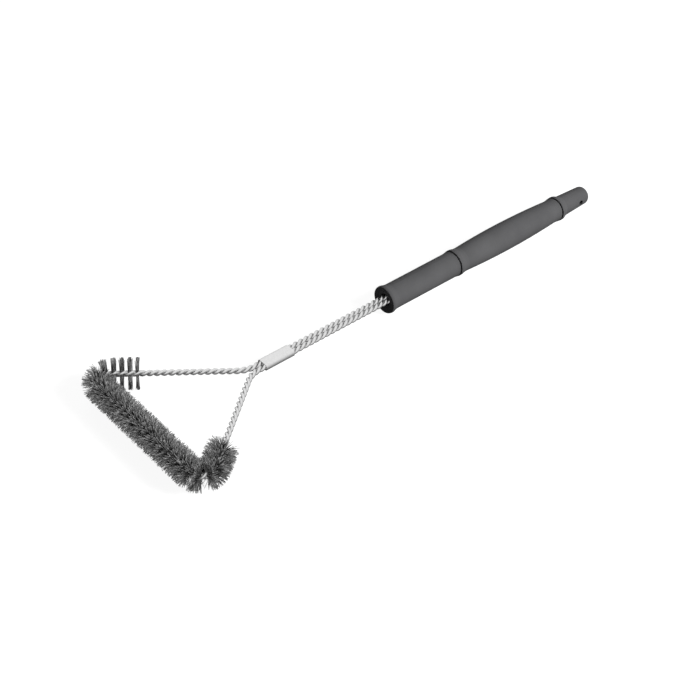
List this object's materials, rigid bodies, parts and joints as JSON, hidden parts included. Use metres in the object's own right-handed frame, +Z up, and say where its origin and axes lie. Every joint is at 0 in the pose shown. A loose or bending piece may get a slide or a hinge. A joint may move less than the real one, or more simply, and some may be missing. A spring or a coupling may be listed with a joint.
{
  "type": "grill cleaning brush",
  "caption": "Three-sided grill cleaning brush: steel bristles in a twisted wire rope bent to a triangle, on a long twisted wire shaft with a dark moulded handle.",
  "frame": {"origin": "centre of the brush's footprint, on the surface it lies on", "axes": "+X along the shaft from the head to the tail of the handle, +Y across the head, +Z up from the surface"},
  "size_m": [0.524, 0.1696, 0.027],
  "materials": {
    "handle_plastic": "matte, fine grain",
    "ferrule_steel": "satin, drawn lengthwise",
    "stem_steel": "bright drawn wire",
    "bristle_steel": "dull, oiled wire"
  },
  "bodies": {
    "root": {"handle": "handle_plastic", "ferrule": "ferrule_steel", "stem_wire_a": "stem_steel", "stem_wire_b": "stem_steel", "bristles_front": "bristle_steel", "bristles_left": "bristle_steel", "bristles_right": "bristle_steel"}
  },
  "joints": []
}
